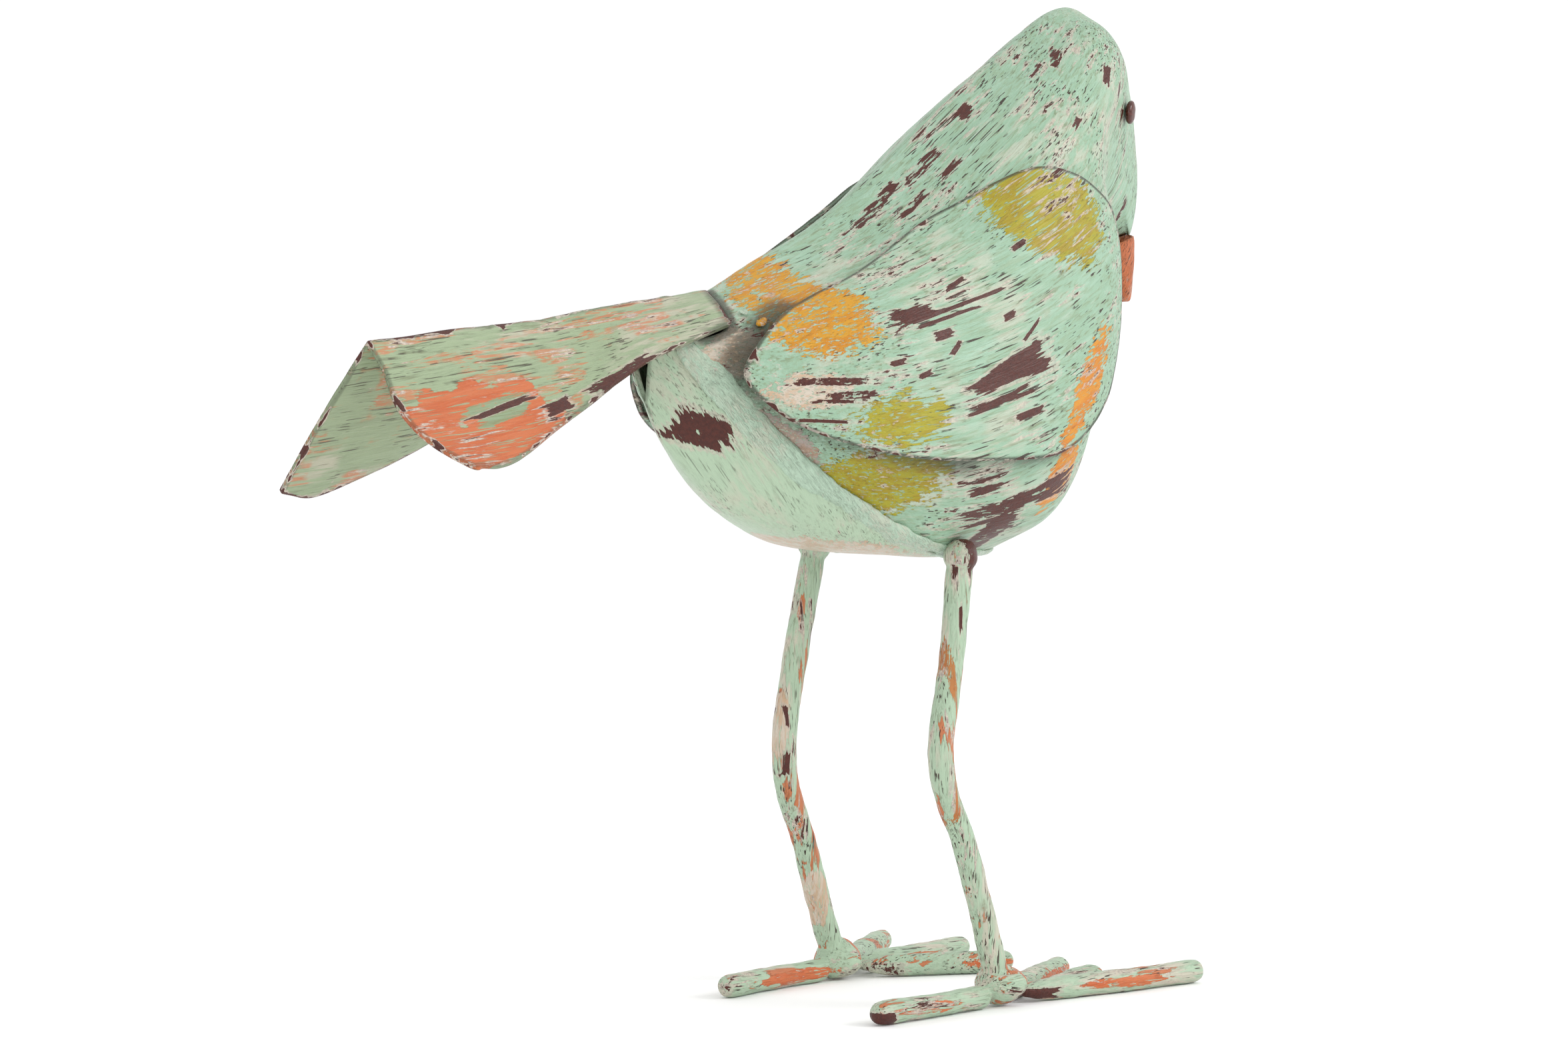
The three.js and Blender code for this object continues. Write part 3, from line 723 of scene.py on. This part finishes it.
def distressed(name, flow_of, patches=(), chips=(), wear=1.0, cream=1.0, cracks=1.0, scratch=None,
               blotch=None, edge_chips=0.0, edge_shade=0.45, soil_and_shade=0.0, base=MINT, patina=1.0, gloss=0.0):
    """Old brushed paint: mint over cream over dark red-brown primer, with dabs, chips and fine cracks.

    flow_of gives the brushing direction as stretched coordinates. patches are (colour, shape) pairs of dabs
    and chips are shapes of bare primer. scratch is a colour for dry_strokes and blotch one for islands, both
    as (colour, threshold, share). wear, cream, cracks and patina are shares of the usual amounts; edge_chips
    says how much the edges are chipped, edge_shade how much painted shade darkens the rims, and grime how
    much soiling and painted shade darken the places by neighbouring edges; gloss is taken off the roughness.
    """
    paint = Paint(name)
    paint.lay_marks(flow_of(paint))
    colour = brushed_coat(paint, base, cream, patina)
    if scratch:
        colour = dry_strokes(paint, colour, *scratch)
    if blotch:
        colour = islands(paint, colour, *blotch, patina)
    colour, relief = dabs(paint, colour, patches)
    if edge_chips:
        # Painted shade: a dark line along the sheet rims, standing for the shadow at their edges.
        line = paint.math("MULTIPLY", paint.step(paint.attribute("edge"), 0.76, 0.92), edge_shade)
        colour = paint.mix(line, colour, SHADE)
    chipped, halo = chipping(paint, chips, wear, cream, edge_chips)
    bared = paint.mix(paint.step(paint.grain, 0.42, 0.6), CREAM, PINK_GREY)
    colour = paint.mix(paint.math("MULTIPLY", halo, paint.step(paint.fine, 0.36, 0.46)), colour, bared)
    crack = cracking(paint, relief, cracks)
    colour = paint.mix(crack, colour, CRACK)
    # Soiling and painted shade by the neighbouring edges, and on the body painted shadow under the wings.
    if soil_and_shade:
        soil_and_shade_mask = paint.math("MULTIPLY", paint.attribute("soil_and_shade"), paint.step(paint.fine, 0.0, 0.5))
        colour = paint.mix(paint.math("MULTIPLY", paint.step(soil_and_shade_mask, 0.22, 0.58), soil_and_shade), colour, SHADE)
    primer = paint.mix(paint.step(paint.grain, 0.4, 0.62), BROWN, deeper(BROWN, 1.4))
    colour = paint.mix(chipped, colour, primer)
    paint.link(colour, paint.shader.inputs["Base Color"])
    surface(paint, relief, chipped, halo, crack, gloss)
    return paint.material


def swept(slope, bend, stretch, rise=0.0):
    """The brush runs along the body: its slope grows towards the head and the back."""
    return lambda paint: paint.sweep(slope, bend, rise, stretch)


ANKLE_HEIGHT = 10.0
ROD_STRETCH = 5


def along_rods(paint):
    """The brush runs up the legs, and forward along the toes."""
    x, y, z = paint.split(paint.place)
    leg = paint.math("GREATER_THAN", z, ANKLE_HEIGHT)
    toe = paint.math("SUBTRACT", 1.0, leg)
    along = paint.math("ADD", paint.math("MULTIPLY", z, leg), paint.math("MULTIPLY", x, toe))
    across = paint.math("ADD", paint.math("MULTIPLY", x, leg), paint.math("MULTIPLY", z, toe))
    return paint.brushed(along, y, across, ROD_STRETCH)


def on_leg(side, height, forward=0.0):
    """A point of a leg at a height in mm above the ground, found from its mesh."""
    points = [vertex.co for vertex in nodes[f"{side}_leg"].data.vertices]
    nearest = sorted(points, key=lambda co: abs(co.z - height * MM))[:16]
    middle = sum(nearest, Vector()) / len(nearest)
    return Vector((middle.x + forward * MM, middle.y, height * MM))


def on_toe(side, toe, along):
    """A point of a toe by its fraction along x, on the rod's middle line."""
    low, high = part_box(f"{side}_{toe}_toe")
    return Vector((low.x + along * (high.x - low.x), (low.y + high.y) / 2, (low.z + high.z) / 2))


# Shape of a patch in the side view: half sizes long, wide and deep in mm, turned by an angle in degrees.
# ragged shifts its ends along the brush in mm, scratched breaks it up with brush marks, and taper makes it
# wider towards one end. A taper of 0 rounds it, and any other gives it straight sides and combed ends.
Shape = namedtuple("Shape", "centre angle long wide ragged scratched taper deep")
STRAIGHT = 0.001


def dab(centre, angle, long, wide, ragged=8, scratched=0.4, deep=70):
    """A rounded patch."""
    return Shape(centre, angle, long, wide, ragged, scratched, 0.0, deep)


def chip(centre, angle, long, wide, ragged=14, scratched=0.3, taper=STRAIGHT, deep=70):
    """A straight-sided patch."""
    return Shape(centre, angle, long, wide, ragged, scratched, taper, deep)


def body_paint():
    patches = [
        (MUSTARD, dab(on_body(0.155, 0.49), 32, 15, 5, 14, 1.4)),
        (MUSTARD, dab(on_body(0.18, 0.44), 20, 18, 11, 14, 1.2)),
        (OLIVE, dab(on_body(0.285, 0.146), 6, 32, 13, 14, 1.0)),
        (ORANGE, dab(on_body(0.625, 0.135), 50, 16, 7, 6, 0.5)),
        (CREAM, dab(on_body(0.063, 0.374), 20, 11, 7, 6, 0.6)),
        (PINK_GREY, dab(on_body(0.125, 0.225), -35, 18, 5, 8, 0.8)),
    ]
    ridge = MIDDLE_Y - 9 * MM
    back = [
        chip(on_body(0.48, 0.70), 38, 9, 0.9, 18, 2.0, deep=6),
        chip(on_body(0.50, 0.695), 38, 5, 0.6, 14, 1.6, deep=12),
        chip(on_body(0.405, 0.64), 36, 9, 1.0, 18, 2.0, deep=6),
        chip(on_body(0.43, 0.63), 36, 6, 0.6, 14, 1.6, deep=13),
        chip(on_body(0.36, 0.60), 34, 5, 0.6, 14, 1.6, deep=13),
        chip(on_body(0.70, 0.92), 42, 5, 1.3, 10, 1.4, deep=7),
        chip(on_body(0.58, 0.80), 40, 3.5, 1.0, 8, 1.2, deep=9),
    ]
    for shape in back:
        shape.centre.y = ridge
    chips = back + [
        chip(on_body(0.93, 0.62), 80, 4.5, 1.0, 6, 1.2),
        chip(on_body(0.95, 0.50), 85, 4, 0.9, 6, 1.2),
        chip(on_body(0.86, 0.79), 75, 3, 1.2, 6, 1.2),
        chip(on_body(0.74, 0.90), 50, 4, 1.0, 8, 1.4),
        chip(on_body(0.80, 0.87), 60, 3.5, 1.3, 6, 0.9),
        chip(on_body(0.83, 0.84), 70, 2.5, 1.0, 6, 0.9),
        chip(on_body(0.71, 0.78), 40, 3, 0.9, 6, 0.9),
        chip(on_body(0.535, 0.098), 13, 25, 2.7, 30, 1.2, 0.35),
        chip(on_body(0.50, 0.065), 11, 12, 0.7, 16, 0.9),
        chip(on_body(0.47, 0.125), 10, 9, 1.3, 12, 0.8),
        chip(on_body(0.40, 0.20), 5, 8, 0.7, 12, 0.8),
        chip(on_body(0.515, 0.035), 50, 9, 5, 12, 0.8),
    ]
    return distressed(
        "body_paint", swept(0.22, 0.0036, 8, 0.0034), patches, chips, edge_chips=0.22, soil_and_shade=0.8)


def wing_paint():
    top = on_wing(0.755, 0.85)
    top.y = MIDDLE_Y - 30 * MM
    patches = [
        (OLIVE, dab(top, -24, 25, 16.5, 8, 0.9, deep=48)),
        (MUSTARD, dab(on_wing(0.175, 0.48), 10, 22, 13, 14, 1.2)),
        (OLIVE, dab(on_wing(0.30, 0.145), 3, 25, 12, 12, 0.9)),
        (ORANGE, dab(on_wing(0.835, 0.245), 56, 28, 8, 8, 0.8)),
        (CREAM, dab(on_wing(0.12, 0.25), 0, 17, 6.5, 12, 0.8)),
    ]
    chips = [
        chip(on_wing(0.585, 0.30), 19, 17, 3.3, 14, 0.3, 0.5),
        chip(on_wing(0.56, 0.205), 15, 13, 1.3, 18, 0.8, 0.3),
        chip(on_wing(0.64, 0.155), 13, 6, 1.1, 9, 0.7),
        chip(on_wing(0.365, 0.495), 14, 8.5, 2.3, 16, 0.9, -0.4),
        chip(on_wing(0.465, 0.520), 15, 18, 0.55, 12, 0.4),
        chip(on_wing(0.45, 0.49), 14, 12, 0.5, 14, 0.6),
        chip(on_wing(0.425, 0.43), 12, 4.0, 1.4, 8, 0.6),
        chip(on_wing(0.45, 0.385), 40, 3.0, 0.9, 6, 0.6),
        chip(on_wing(0.66, 0.44), 40, 5, 0.6, 6, 0.4),
        chip(on_wing(0.605, 0.49), 20, 2.5, 1.0, 4, 0.4),
        chip(on_wing(0.49, 0.60), 25, 4, 0.6, 5, 0.4),
        chip(on_wing(0.66, 0.73), 28, 3, 0.8, 5, 0.4),
        chip(on_wing(0.15, 0.280), 0, 12, 1.1, 22, 1.3),
        chip(on_wing(0.19, 0.235), 0, 7, 1.3, 18, 1.3),
        chip(on_wing(0.16, 0.215), 0, 6, 0.6, 14, 1.2),
        chip(on_wing(0.13, 0.15), -3, 10, 0.5, 14, 0.7),
        chip(on_wing(0.36, 0.30), 20, 3, 0.8, 6, 0.6),
        chip(on_wing(0.30, 0.34), 10, 3, 0.8, 6, 0.6),
    ]
    return distressed(
        "wing_paint", swept(0.20, 0.0034, 8, 0.0022), patches, chips,
        edge_chips=0.28, edge_shade=0.85, soil_and_shade=0.4)


def tail_paint():
    lobe = on_tail(0.20, 0.37)
    lobe.y = (TAIL_LOW.y + MIDDLE_Y) / 2 - 4 * MM
    scrape = lobe + Vector((8 * MM, 0, 4 * MM))
    patches = [
        (TERRACOTTA, dab(lobe, 8, 33, 13, 8, 0.2, 20)),
        (MINT_DULL, dab(scrape, 14, 16, 3.5, 10, 0.9, 22)),
    ]
    root = on_tail(0.62, 0.60)
    root.y = TAIL_LOW.y + 16 * MM
    chips = [
        chip(scrape, 14, 15, 0.7, 14, 0.9, deep=22),
        chip(scrape + Vector((22 * MM, 0, 1 * MM)), 14, 5, 1.6, 8, 0.6, deep=22),
        chip(root, 22, 13, 1.6, 12, 0.8, deep=9),
    ]
    return distressed(
        "tail_paint", swept(0.10, 0.0, 8), patches, chips, scratch=(TERRACOTTA, 0.495, 0.7),
        edge_chips=0.34, soil_and_shade=0.5, base=TAIL_MINT, cream=1.3, cracks=0.8)


def belly_paint():
    mark = on_belly(0.105, 0.60)
    mark.y = MIDDLE_Y - 8 * MM
    low = on_belly(0.03, 0.52)
    low.y = MIDDLE_Y + 3 * MM
    under = on_belly(0.55, 0.06)
    patches = [(CREAM, dab(under, -4, 45, 4.5, 12, 0.8, 30))]
    chips = [
        chip(mark, -22, 7.5, 4.6, 12, 0.6, -0.15, deep=9),
        dab(mark + Vector((6 * MM, 0, -1 * MM)), -22, 8, 4.2, 8, 2.2, deep=9),
        chip(low, -60, 9, 3, 6, 0.5, deep=8),
    ]
    return distressed(
        "belly_paint", swept(-1.1, 0.0, 9.0), patches, chips, wear=0.2, cracks=0.5, patina=0.6,
        edge_chips=0.12, soil_and_shade=0.5, gloss=0.05, base=BELLY_MINT)


def rod_paint():
    patches = [
        (TERRACOTTA, dab(on_leg("left", 57, 2.5), 100, 14, 2.6, 6, 0.3)),
        (CREAM, dab(on_leg("left", 27, 1), 100, 10, 4, 6, 0.4)),
        (TERRACOTTA, dab(on_leg("left", 14, 3), 120, 8, 2.6, 4, 0.3)),
        (TERRACOTTA, dab(on_toe("left", "back", 0.68), 0, 19, 2.2, 8, 0.4)),
        (RUST, dab(on_leg("right", 108, -1), 95, 18, 1.6, 14, 1.8)),
        (RUST, dab(on_leg("right", 72), 85, 16, 2.0, 14, 1.8)),
        (TERRACOTTA, dab(on_leg("right", 14, 3), 110, 9, 2.2, 6, 0.5)),
        (TERRACOTTA, dab(on_toe("right", "back", 0.45), 0, 15, 2.0, 10, 1.2)),
        (CREAM, dab(on_leg("left", 84, -1), 90, 14, 3.0, 8, 0.8)),
        (TERRACOTTA, dab(on_toe("right", "outer", 0.55), 0, 20, 1.8, 12, 1.0)),
    ]
    chips = [
        chip(on_leg("left", 70, 1), 90, 3.5, 1.1, 5, 0.6),
        chip(on_leg("left", 84, 1), 90, 3, 0.5, 5, 0.8),
        chip(on_leg("left", 106, 0), 90, 7, 0.5, 10, 0.8),
        chip(on_leg("right", 30, 2), 100, 7, 1.0, 8, 0.5),
        dab(on_leg("right", 140, 4), 70, 10, 5.0, 5, 0.8),
        chip(on_leg("right", 118, 2), 90, 5, 0.6, 8, 0.6),
        chip(on_toe("right", "back", 0.03) - Vector((0, 0, 1.5 * MM)), 0, 5, 1.8, 4, 0.4),
        chip(on_toe("right", "outer", 0.05) - Vector((0, 0, 1 * MM)), 0, 9, 1.8, 8, 0.5),
    ]
    return distressed(
        "rod_paint", along_rods, patches, chips, blotch=(TERRACOTTA, 0.61, 0.85),
        cream=2.0, base=ROD_MINT)


def weld_paint():
    patches = []
    for side in ("right", "left"):
        low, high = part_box(f"{side}_wing_tack")
        patches.append((MUSTARD, dab((low + high) / 2, 0, 4, 4, 2, 0.4, deep=6)))
    return distressed(
        "weld_paint", swept(-1.0, 0.0, 2.0), patches, wear=0.3, cracks=0.3, patina=0.7, gloss=0.12,
        base=WELD_MINT)


def beak_paint():
    return distressed("beak_paint", swept(2.0, 0.0, 3.0), base=TERRACOTTA, cream=0.8, patina=0.9)


def eye_enamel():
    paint = Paint("eye_enamel")
    grain = paint.noise(paint.place, 1.2, 3.0)
    colour = paint.mix(paint.step(grain, 0.4, 0.65), BROWN, deeper(BROWN, 1.6))
    paint.link(colour, paint.shader.inputs["Base Color"])
    paint.link(paint.math("ADD", 0.18, paint.math("MULTIPLY", grain, 0.2)), paint.shader.inputs["Roughness"])
    return paint.material


def floor_paint():
    paint = Paint("floor_paint")
    grain = paint.noise(paint.place, 0.01, 2.0)
    colour = paint.mix(grain, (0.95, 0.95, 0.95, 1), (0.97, 0.97, 0.97, 1))
    paint.link(colour, paint.shader.inputs["Base Color"])
    paint.shader.inputs["Roughness"].default_value = 0.8
    return paint.material


# Studio

FLOOR_HALF_SIZE = 12
FLOOR_DROP = 0.2 * MM
EXPOSURE = 0.24


def make_floor():
    bm = bmesh.new()
    bmesh.ops.create_grid(bm, x_segments=2, y_segments=2, size=FLOOR_HALF_SIZE)
    mesh = bpy.data.meshes.new("floor")
    bm.to_mesh(mesh)
    bm.free()
    floor = bpy.data.objects.new("floor", mesh)
    bpy.context.scene.collection.objects.link(floor)
    floor.location = (0, 0, cad_box[0].z - FLOOR_DROP)
    mesh.materials.append(floor_paint())


def make_light(name, place, target, size, power):
    data = bpy.data.lights.new(name, "AREA")
    data.shape = "DISK"
    data.size = size
    data.energy = power
    light = bpy.data.objects.new(name, data)
    bpy.context.scene.collection.objects.link(light)
    light.location = place
    light.rotation_euler = (Vector(target) - Vector(place)).to_track_quat("-Z", "Y").to_euler()


def make_studio():
    world = bpy.data.worlds.new("studio")
    bpy.context.scene.world = world
    world.use_nodes = True
    background = world.node_tree.nodes["Background"]
    background.inputs["Color"].default_value = (1, 1, 1, 1)
    background.inputs["Strength"].default_value = 0.90
    aim = (0, 0, 0.2)
    make_light("key", (0.8, -1.1, 0.9), aim, 0.6, 7)
    make_light("fill", (-1.4, -0.9, 0.1), aim, 1.0, 5)
    bpy.context.scene.view_settings.view_transform = "Standard"
    bpy.context.scene.view_settings.exposure = EXPOSURE


def dress(piece, material):
    piece.data.materials.clear()
    piece.data.materials.append(material)


make_camera()
make_floor()
make_studio()

body = make_body()
dress(body, body_paint())
belly = make_sheet("belly_skin", "belly_plate", outward, 4, BELLY_DENTS)
dress(belly, belly_paint())
tail = make_sheet("tail_skin", "tail", upward, 5, TAIL_DENTS)
dress(tail, tail_paint())

wing_finish = wing_paint()
rod_finish = rod_paint()
weld_finish = weld_paint()
eye_finish = eye_enamel()
for seed, side in enumerate(("right", "left"), 1):
    wing = make_sheet(f"{side}_wing_skin", f"{side}_wing", outward, seed + 6, WING_DENTS)
    dress(wing, wing_finish)
    foot = make_foot(side, seed)
    dress(foot, rod_finish)
    bead = make_seam_bead(side, seed)
    dress(bead, weld_finish)
    for tack in ("wing_tack", "tail_tack"):
        piece = make_small(f"{side}_{tack}_bead", f"{side}_{tack}", seed + 2, -0.1, [(2.5, 0.9), (1, 0.3)])
        dress(piece, weld_finish)
    eye = make_small(f"{side}_eye_dot", f"{side}_eye", seed, 0.7, [(2, 0.15)])
    dress(eye, eye_finish)
beak = make_small("beak_skin", "beak", 3, 0.35, [(6, 0.3), (2, 0.08)])
dress(beak, beak_paint())
